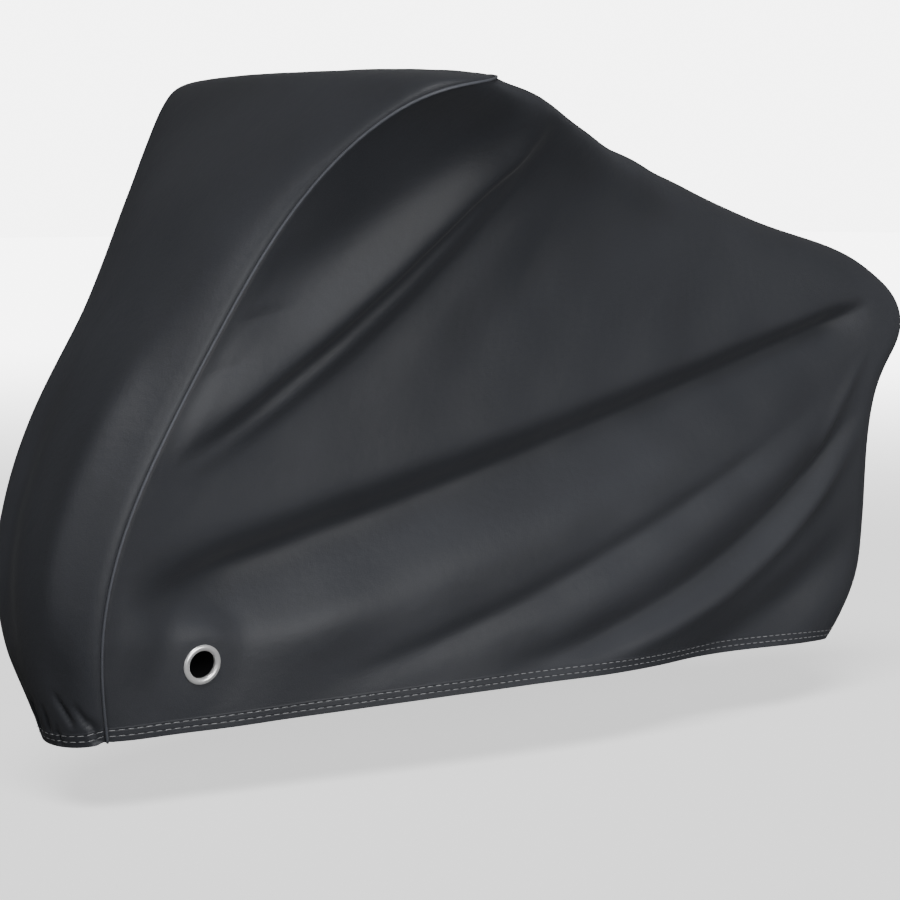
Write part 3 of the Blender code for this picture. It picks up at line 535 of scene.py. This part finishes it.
def mesh_object(name, points, faces, uv=None):
    """A smooth-shaded object at the origin, from points and quads, with uv in metres on the
    points. The arrays go into the mesh whole."""
    faces = np.asarray(faces, np.int32)
    mesh = bpy.data.meshes.new(name)
    mesh.vertices.add(len(points))
    mesh.vertices.foreach_set("co", np.asarray(points, np.float32).ravel())
    mesh.loops.add(faces.size)
    mesh.loops.foreach_set("vertex_index", faces.ravel())
    mesh.polygons.add(len(faces))
    mesh.polygons.foreach_set("loop_start", np.arange(0, faces.size, faces.shape[1],
                                                      dtype=np.int32))
    mesh.update(calc_edges=True)
    mesh.validate()
    if uv is not None:
        layer = mesh.uv_layers.new(name="cloth")
        layer.uv.foreach_set("vector", np.asarray(uv, np.float32)[faces.ravel()].ravel())
    mesh.shade_smooth()
    return placed_object(name, mesh)


def placed_object(name, data, place=(0.0, 0.0, 0.0)):
    """An object in the scene, at the origin unless it is a light or the camera."""
    made = bpy.data.objects.new(name, data)
    made.location = place
    bpy.context.scene.collection.objects.link(made)
    return made


def compact(points, faces, uv):
    """Only the points that the faces use, with the faces renumbered to suit."""
    used, faces_now = np.unique(faces, return_inverse=True)
    return points[used], faces_now.reshape(faces.shape), uv[used]


def punch(points, faces, centre, radius):
    """Leaves out the quads round a centre and draws the edge that is left onto a circle."""
    near = np.linalg.norm(points[faces].mean(1) - centre, axis=-1) < radius
    edge = np.intersect1d(faces[near], faces[~near])
    away = points[edge] - centre
    points = points.copy()
    points[edge] = centre + away * (radius / np.linalg.norm(away, axis=-1, keepdims=True))
    return points, faces[~near]


def give_thickness(piece, thickness):
    """A thin wall inwards from the outer face, whose cut edges are shaded sharp."""
    mesh = piece.data
    edge_of_corner = np.empty(len(mesh.loops), np.int32)
    mesh.loops.foreach_get("edge_index", edge_of_corner)
    open_edges = np.bincount(edge_of_corner, minlength=len(mesh.edges)) == 1
    mesh.attributes.new("sharp_edge", "BOOLEAN", "EDGE").data.foreach_set("value", open_edges)
    wall = piece.modifiers.new("thickness", "SOLIDIFY")
    wall.thickness = thickness
    wall.offset = -1


def turned_ring(name, profile, centre, axes):
    """A closed ring: each point (r, z) of the closed profile goes round the circle
    centre + r (cos t rear + sin t rise) + z out."""
    profile = np.array(profile)
    t = np.linspace(0, 2 * np.pi, RING_STEPS, endpoint=False)[:, None, None]
    rear, rise, out = axes
    points = (centre + profile[:, :1] * (np.cos(t) * rear + np.sin(t) * rise)
              + profile[:, 1:] * out)
    count = len(profile)
    quads = grid_quads(RING_STEPS + 1, count, close_columns=True) % (RING_STEPS * count)
    return mesh_object(name, points.reshape(-1, 3), quads)


def face_outwards(piece):
    """Recalculates a closed mesh's normals, which a mirrored frame turns inwards."""
    shape = bmesh.new()
    shape.from_mesh(piece.data)
    bmesh.ops.recalc_face_normals(shape, faces=shape.faces)
    shape.to_mesh(piece.data)
    shape.free()


# ---- materials
def paired(operation):
    """An operator on shader sockets and its reflected form: each adds one Math node."""
    return (lambda self, other: self.nodes.math(operation, self, other),
            lambda self, other: self.nodes.math(operation, other, self))


class Value:
    """A shader socket that Python's operators work on."""
    __add__, __radd__ = paired("ADD")
    __sub__, __rsub__ = paired("SUBTRACT")
    __mul__, __rmul__ = paired("MULTIPLY")
    __truediv__, __rtruediv__ = paired("DIVIDE")
    __pow__, __rpow__ = paired("POWER")

    def __init__(self, nodes, socket):
        self.nodes, self.socket = nodes, socket

    def sine(self):
        return self.nodes.math("SINE", self)

    def size(self):
        return self.nodes.math("ABSOLUTE", self)

    def step(self, low, high):
        """0 below low and 1 above high, smooth between."""
        return self.nodes.add("ShaderNodeMapRange", {"interpolation_type": "SMOOTHSTEP"},
                              {"Value": self, "From Min": low, "From Max": high})


class Nodes:
    """The node tree of a new material or world."""

    def __init__(self, owner):
        owner.use_nodes = True
        self.owner, self.tree = owner, owner.node_tree

    def add(self, kind, settings=(), inputs=(), output=0):
        """A node of any kind, with its settings made first, then its sockets' values or
        links; returns one of its outputs."""
        node = self.tree.nodes.new(kind)
        for name, value in dict(settings).items():
            setattr(node, name, value)
        for key, value in dict(inputs).items():
            self.join(value, node.inputs[key])
        return Value(self, node.outputs[output])

    def join(self, value, socket):
        """Links a socket, or sets it."""
        if isinstance(value, Value):
            self.tree.links.new(value.socket, socket)
        else:
            socket.default_value = value

    def math(self, operation, *operands):
        """One Math node."""
        return self.add("ShaderNodeMath", {"operation": operation}, enumerate(operands))

    def place(self):
        """The piece's own metres, from its object."""
        return self.add("ShaderNodeTexCoord", output="Object")

    def parts(self, vector):
        """The x, y and z of a vector."""
        split = self.add("ShaderNodeSeparateXYZ", (), {0: vector}).socket.node
        return [Value(self, socket) for socket in split.outputs]

    def noise(self, place, scale, detail=2.0, rough=0.5):
        """Soft random values from 0 to 1, scale of them to a metre."""
        return self.add("ShaderNodeTexNoise", (), {"Vector": place, "Scale": scale,
                                                   "Detail": detail, "Roughness": rough})

    def mixed(self, share, first, second):
        """A colour between two others: 6, 7 and output 2 are the Mix node's colours."""
        return self.add("ShaderNodeMix", {"data_type": "RGBA"},
                        {0: share, 6: first, 7: second}, output=2)

    def bump(self, height):
        """Relief of a height in metres."""
        return self.add("ShaderNodeBump", (), {"Strength": 1.0, "Distance": 1.0,
                                               "Height": height})

    def finish(self, constants, varying):
        """Constants go straight on the shader's sockets, and what varies is linked."""
        shader = self.tree.nodes["Principled BSDF"]
        for name, value in {**constants, **varying}.items():
            self.join(value, shader.inputs[name])
        return self.owner


def shade(colour, share=1.0):
    """A colour made darker or lighter, with its alpha."""
    return (*[min(1.0, part * share) for part in colour], 1)


def cloth_material(nodes, colour, sizes, hemmed):
    """Proofed plain-weave polyester: threads over and under each other on the piece's own
    metres, a faint crush of small creases, slightly uneven dye, and on a hemmed panel dips
    along the rows of stitches and a step where the turned hem ends."""
    uv, place = nodes.add("ShaderNodeUVMap", {"uv_map": "cloth"}), nodes.place()
    across, up, _ = nodes.parts(uv)
    turns = 2 * np.pi / WEAVE_PITCH
    weave = (across * turns).sine() * (up * turns).sine()
    dye = nodes.noise(place, DYE_SCALE, detail=3.0)
    crush = nodes.noise(place, CRUSH_SCALE, detail=4.0, rough=0.62)
    grain = nodes.noise(uv, GRAIN_SCALE, rough=0.7)
    tone = (dye * DYE_SHARE + grain * (1 - DYE_SHARE)).step(0.32, 0.68)
    height = weave * WEAVE_DEPTH + crush * CRUSH_DEPTH + grain * GRAIN_DEPTH
    if hemmed:
        low, high = [1 - ((up - row) / STITCH_REACH).size().step(0.0, 1.0)
                     for row in (sizes.low_row, sizes.high_row)]
        past_hem = (up - (sizes.high_row + HEM_PAST)).step(-HEM_BLEND, HEM_BLEND)
        height = height - (low + high) * STITCH_DIP - past_hem * HEM_STEP
    return nodes.finish(
        {"Specular IOR Level": 0.30, "Sheen Weight": 0.06, "Sheen Roughness": 0.45},
        {"Base Color": nodes.mixed(tone, shade(colour, DYE_LEAN), shade(colour, DYE_FULL)),
         "Roughness": CLOTH_ROUGH + (dye - 0.5) * DYE_ROUGH + (grain - 0.5) * GRAIN_ROUGH,
         "Normal": nodes.bump(height)})


def thread_material(nodes, colour):
    """Twisted polyester thread: fine slanting plies, a little worn in places."""
    place = nodes.place()
    worn = nodes.noise(place, WORN_SCALE).step(0.3, 0.7)
    x, _, z = nodes.parts(place)
    plies = ((x + z) * (2 * np.pi / PLY_PITCH)).sine()
    return nodes.finish(
        {"Roughness": 0.6, "Sheen Weight": 0.1},
        {"Base Color": nodes.mixed(worn, shade(colour, THREAD_WORN), shade(colour)),
         "Normal": nodes.bump(plies * PLY_DEPTH)})


def steel_material(nodes, colour):
    """Polished plated steel with a faint haze and rolling marks."""
    place = nodes.place()
    haze = nodes.noise(place, HAZE_SCALE, detail=3.0)
    marks = nodes.noise(place, MARK_SCALE)
    tone = haze.step(0.3, 0.7)
    return nodes.finish(
        {"Metallic": 0.6},
        {"Base Color": nodes.mixed(tone, shade(colour, STEEL_HAZY), shade(colour)),
         "Roughness": STEEL_ROUGH + haze * HAZE_ROUGH,
         "Normal": nodes.bump(marks * MARK_DEPTH)})


def floor_material(nodes, colour):
    """A plain pale matt floor that glows faintly, and far off as brightly as the backdrop."""
    x, y, _ = nodes.parts(nodes.place())
    far = ((x * x + y * y) ** 0.5).step(FLOOR_NEAR, FLOOR_FAR)
    white = (1, 1, 1)
    return nodes.finish({"Base Color": shade(colour), "Roughness": 0.9,
                         "Specular IOR Level": 0.1, "Emission Strength": BACKDROP},
                        {"Emission Color": nodes.mixed(far, shade(white, FLOOR_GLOW),
                                                       shade(white))})


FINISHES = {}      # the finishes made so far, by name


def finish_named(name, make, *values):
    """A finish that is made once and shared."""
    if name not in FINISHES:
        FINISHES[name] = make(Nodes(bpy.data.materials.new(name)), *values)
    return FINISHES[name]


def wear(piece, finish):
    """Gives a piece its finish and the body that carries it."""
    piece.data.materials.clear()
    piece.data.materials.append(finish)
    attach(piece, "root")


# ---- the pieces
def settings():
    """The user's sizes and colours."""
    return bpy.context.scene.cover_sizes, bpy.context.scene.cover_colours


def dipped(points, from_edge, depth, outs):
    """A panel sunk beside the welt, by a bell curve of the distance from its edge."""
    return points - (depth * np.exp(-(from_edge / DIP_REACH) ** 2))[..., None] * outs


def side_sheet(side, along_parts, up_parts, folds, seed):
    """Points and uv of one side panel on a grid, its edge tucked under the welt."""
    along, up = np.meshgrid(stretches(along_parts), stretches(up_parts), indexing="ij")
    points = side_cloth(along, up, folds, seed)
    seam, away, _ = seam_line(up[0])
    points[0] = seam + away * TUCK
    points = dipped(points, run_lengths(points, 0), SIDE_DIP, grid_normals(points))
    points[-1, :, 1] = 0
    points[:, -1, 1] = 0
    return settle(mirrored(points, side)), grid_uv(points)


def front_sheet():
    """Points and uv of the front panel on a grid, both edges tucked under the welt."""
    levels = stretches(FRONT_UP)
    across, up = np.meshgrid(stretches(FRONT_ACROSS), levels, indexing="ij")
    points = front_cloth(across, up)
    seam, away, _ = seam_line(levels)
    edge = seam - away * TUCK
    points[0], points[-1] = edge, mirrored(edge, RIGHT)
    from_edge = np.minimum(run_lengths(points, 0), run_lengths(points[::-1], 0)[::-1])
    points = settle(dipped(points, from_edge, FRONT_DIP, -grid_normals(points)))
    return points, grid_uv(points)


def panel(name, points, uv, facing, eyelet=None):
    """One panel of cloth from its grid, punched round the eyelet where it has one. facing
    is 1 where the grid's normals face outwards, and -1 where they face inwards."""
    sizes, colours = settings()
    faces = grid_quads(*points.shape[:2])[:, ::facing]
    points, uv = points.reshape(-1, 3), uv.reshape(-1, 2)
    if eyelet is not None:
        points, faces = punch(points, faces, eyelet, sizes.hole + PUNCH_MARGIN)
        points, faces, uv = compact(points, faces, uv)
    piece = mesh_object(name, points, faces, uv)
    give_thickness(piece, sizes.cloth)
    wear(piece, finish_named("proofed_cloth", cloth_material, colours.cloth, sizes, True))
    return piece


def read_along(line, walked, at):
    """The rows of a line's array, read by linear interpolation at distances along it."""
    return np.stack([np.interp(at, walked, line[:, k]) for k in range(3)], -1)


def hem_rows(points, sizes):
    """Middles, tangents and normals of the stitches of both rows: a row is found by linear
    interpolation up the grid at its distance from the hem, then walked at the pitch."""
    normals, heights = grid_normals(points), run_lengths(points, 1)
    rows = np.arange(len(points))
    places, runs, outs = [], [], []
    for distance in (sizes.low_row, sizes.high_row):
        past = np.argmax(heights > distance, axis=1)
        low, high = heights[rows, past - 1], heights[rows, past]
        part = ((distance - low) / (high - low))[:, None]
        line = points[rows, past - 1] * (1 - part) + points[rows, past] * part
        out = normals[rows, past - 1] * (1 - part) + normals[rows, past] * part
        walked = run_lengths(line, 0)
        at = np.arange(sizes.pitch * ROW_START, walked[-1] - sizes.pitch * ROW_END, sizes.pitch)
        places.append(read_along(line, walked, at))
        outs.append(read_along(out, walked, at))
        runs.append(read_along(line, walked, at + ROW_AHEAD) - places[-1])
    return np.concatenate(places), unit(np.concatenate(runs)), unit(np.concatenate(outs))


def stitches(name, points, facing, rings=7, sides=6):
    """The stitches along a panel's hem, joined in one mesh. Each is a closed lozenge of
    thread, whose half width at share t along it is the root of 1 - (2t - 1)^4, half sunk in
    the cloth."""
    sizes, colours = settings()
    places, runs, outs = hem_rows(points, sizes)
    outs = facing * outs
    t = np.linspace(0.0, 1.0, rings)
    swell = np.maximum(1 - (2 * t - 1) ** 4, THREAD_END) ** 0.5
    turn = np.linspace(0, 2 * np.pi, sides, endpoint=False)
    x = np.repeat((t - 0.5)[:, None], sides, 1)
    y = swell[:, None] * np.cos(turn)
    z = swell[:, None] * np.sin(turn)
    shape = np.stack([x * sizes.stitch, y * sizes.thread / 2,
                      z * sizes.thread * THREAD_FLAT + THREAD_LIFT], -1).reshape(-1, 3)
    cross = np.cross(outs, runs)
    points = (places[:, None] + shape[:, :1] * runs[:, None] + shape[:, 1:2] * cross[:, None]
              + shape[:, 2:] * outs[:, None])
    firsts = rings * sides * np.arange(len(places))[:, None, None]
    piece = mesh_object(name, points.reshape(-1, 3),
                        (tube_faces(rings, sides) + firsts).reshape(-1, 4))
    wear(piece, finish_named("hem_thread", thread_material, colours.thread))
    return piece


# ---- the stage
def turn_to(looker, aim):
    """Turns a light's or a camera's -Z to a point."""
    view = Vector(aim) - looker.location
    looker.rotation_euler = view.to_track_quat("-Z", "Y").to_euler()
    return looker


def studio_world():
    """Dim light from all round, behind which the camera sees a white backdrop."""
    nodes = Nodes(bpy.data.worlds.new("studio"))
    nodes.tree.nodes.remove(nodes.tree.nodes["Background"])
    dim, seen = [nodes.add("ShaderNodeBackground", (), {"Color": (1, 1, 1, 1),
                                                        "Strength": strength})
                 for strength in (DIM_LIGHT, BACKDROP)]
    to_camera = nodes.add("ShaderNodeLightPath", output="Is Camera Ray")
    light = nodes.add("ShaderNodeMixShader", (), {0: to_camera, 1: dim, 2: seen})
    nodes.join(light, nodes.tree.nodes["World Output"].inputs["Surface"])
    return nodes.owner


# ---- operators
class COVER_OT_stage(bpy.types.Operator):
    """Pale floor, soft light and the camera"""
    bl_idname = "cover.stage"
    bl_label = "Stage"

    def execute(self, context):
        _, colours = settings()
        span = np.linspace(-FLOOR_REACH, FLOOR_REACH, FLOOR_LINES)
        x, y = np.meshgrid(span, span, indexing="ij")
        points = np.stack([x, y, np.full_like(x, GROUND)], -1).reshape(-1, 3)
        floor = mesh_object("floor", points, grid_quads(FLOOR_LINES, FLOOR_LINES))
        floor.visible_diffuse = floor.visible_glossy = floor.visible_shadow = False
        floor.data.materials.append(finish_named("pale_floor", floor_material, colours.floor))

        for lamp in LAMPS:
            light = bpy.data.lights.new(lamp.name, "SUN")
            light.energy, light.angle = lamp.power, lamp.width
            turn_to(placed_object(lamp.name, light, lamp.place), LIT_AT)
        context.scene.world = studio_world()

        camera = bpy.data.cameras.new("camera")
        camera.lens, camera.sensor_width, camera.clip_end = LENS, SENSOR, VIEW_REACH
        context.scene.camera = turn_to(placed_object("camera", camera, EYE), AIM)
        return {"FINISHED"}


class COVER_OT_sides(bpy.types.Operator):
    """Both side panels, draped and hemmed, with their rows of stitches"""
    bl_idname = "cover.sides"
    bl_label = "Side panels"

    def execute(self, context):
        for word, side, *shape in (
                ("left", LEFT, LEFT_ALONG, LEFT_UP, LEFT_FOLDS + LEFT_CREASES, LEFT_SEED),
                ("right", RIGHT, RIGHT_ALONG, RIGHT_UP, RIGHT_FOLDS, RIGHT_SEED)):
            points, uv = side_sheet(side, *shape)
            eyelet = settle(mirrored(eyelet_frame()[0], side))
            piece = panel("side_cloth_" + word, points, uv, -side, eyelet)
            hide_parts("side_panel_" + word, "eyelet_strip_" + word)
            sewn = stitches("hem_stitches_" + word, points, -side)
        return {"FINISHED"}


class COVER_OT_front(bpy.types.Operator):
    """The front panel over the handlebar, with its gathered hem and stitches"""
    bl_idname = "cover.front"
    bl_label = "Front panel"

    def execute(self, context):
        points, uv = front_sheet()
        piece = panel("front_cloth", points, uv, -1)
        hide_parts("front_panel")
        sewn = stitches("hem_stitches_front", points, -1)
        return {"FINISHED"}


class COVER_OT_welt(bpy.types.Operator):
    """The raised arch seam from hem to hem"""
    bl_idname = "cover.welt"
    bl_label = "Arch seam"

    def execute(self, context):
        sizes, colours = settings()
        halves = seam_line(np.linspace(0, 1, SEAM_STEPS + 1))
        path, aside, above = [np.concatenate([half, mirrored(half, RIGHT)[-2::-1]])
                              for half in halves]
        for direction in (aside, above):       # the two halves' directions meet at the crown
            direction[SEAM_STEPS] = unit(direction[SEAM_STEPS - 1] + direction[SEAM_STEPS + 1])
        walked = run_lengths(path, 0)
        pinch = 1 + PINCH * np.sin(walked * 2 * np.pi / PINCH_PITCH)
        turn = np.linspace(0, 2 * np.pi, WELT_SIDES, endpoint=False)
        wide, tall = sizes.welt * WELT_WIDE, sizes.welt * pinch
        points = settle(
            path[:, None] + wide * np.cos(turn)[:, None] * aside[:, None]
            + tall[:, None, None] * (np.sin(turn)[:, None] + WELT_RAISED) * above[:, None])
        around = turn / (2 * np.pi) * WELT_ROUND
        uv = np.stack(np.broadcast_arrays(around[None, :], walked[:, None] + WELT_START), -1)
        piece = mesh_object("arch_seam", points.reshape(-1, 3),
                            tube_faces(len(path), WELT_SIDES)[:, ::-1], uv.reshape(-1, 2))
        # the welt gets the cloth colour made lighter: a painted highlight along its raised edge,
        # not a paler cloth
        highlight_colour = [part * WELT_PAINTED_HIGHLIGHT for part in colours.cloth]
        wear(piece, finish_named("welt_cloth", cloth_material, highlight_colour, sizes, False))
        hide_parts("arch_welt")
        return {"FINISHED"}


class COVER_OT_eyelets(bpy.types.Operator):
    """Polished grommets with their washers, one on each side"""
    bl_idname = "cover.eyelets"
    bl_label = "Eyelets"

    def execute(self, context):
        sizes, colours = settings()
        steel = finish_named("polished_steel", steel_material, colours.steel)
        hole, rim = sizes.hole, sizes.rim
        # a rolled ring in front, a barrel through the cloth, and its flared end behind
        t = np.linspace(0, np.pi, ROLL_STEPS)
        roll = np.stack([(rim + hole) / 2 + (rim - hole) / 2 * np.cos(t),
                         ROLL_FOOT + ROLL_HEIGHT * np.sin(t) ** ROLL_POWER], -1)
        grommet = np.concatenate([roll, np.array(BARREL) + (hole, 0)])[::-1]
        outer = np.array(WASHER_RIM) + (rim, 0)
        inner = [[hole + WASHER_HOLE, z] for z in (WASHER_RIM[0][1], WASHER_RIM[-1][1])]
        washer = np.array([inner[0], *outer, inner[1]])
        for word, side in (("left", LEFT), ("right", RIGHT)):
            centre, *axes = [mirrored(vector, side) for vector in eyelet_frame()]
            for name, profile in (("grommet", grommet), ("washer", washer)):
                piece = turned_ring(f"steel_{name}_{word}", profile, settle(centre), axes)
                face_outwards(piece)
                wear(piece, steel)
                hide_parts(f"{name}_{word}")
        return {"FINISHED"}


class COVER_PT_panel(bpy.types.Panel):
    """Sizes, colours and pieces of the cover"""
    bl_idname = "COVER_PT_panel"
    bl_label = "Bicycle cover"
    bl_space_type = "VIEW_3D"
    bl_region_type = "UI"
    bl_category = "Cover"

    def draw(self, context):
        for group in (context.scene.cover_sizes, context.scene.cover_colours):
            box = self.layout.box()
            for name in group.__annotations__:
                box.prop(group, name)
        for operator in OPERATORS:
            self.layout.operator(operator.bl_idname)


OPERATORS = (COVER_OT_stage, COVER_OT_sides, COVER_OT_front, COVER_OT_welt, COVER_OT_eyelets)
CLASSES = (CoverSizes, CoverColours, *OPERATORS, COVER_PT_panel)


def register():
    for item in CLASSES:
        bpy.utils.register_class(item)
    bpy.types.Scene.cover_sizes = PointerProperty(type=CoverSizes)
    bpy.types.Scene.cover_colours = PointerProperty(type=CoverColours)


def unregister():
    del bpy.types.Scene.cover_colours
    del bpy.types.Scene.cover_sizes
    for item in reversed(CLASSES):
        bpy.utils.unregister_class(item)


def main():
    register()
    bpy.ops.cover.stage()
    bpy.ops.cover.sides()
    bpy.ops.cover.front()
    bpy.ops.cover.welt()
    bpy.ops.cover.eyelets()


if __name__ == "__main__":
    main()
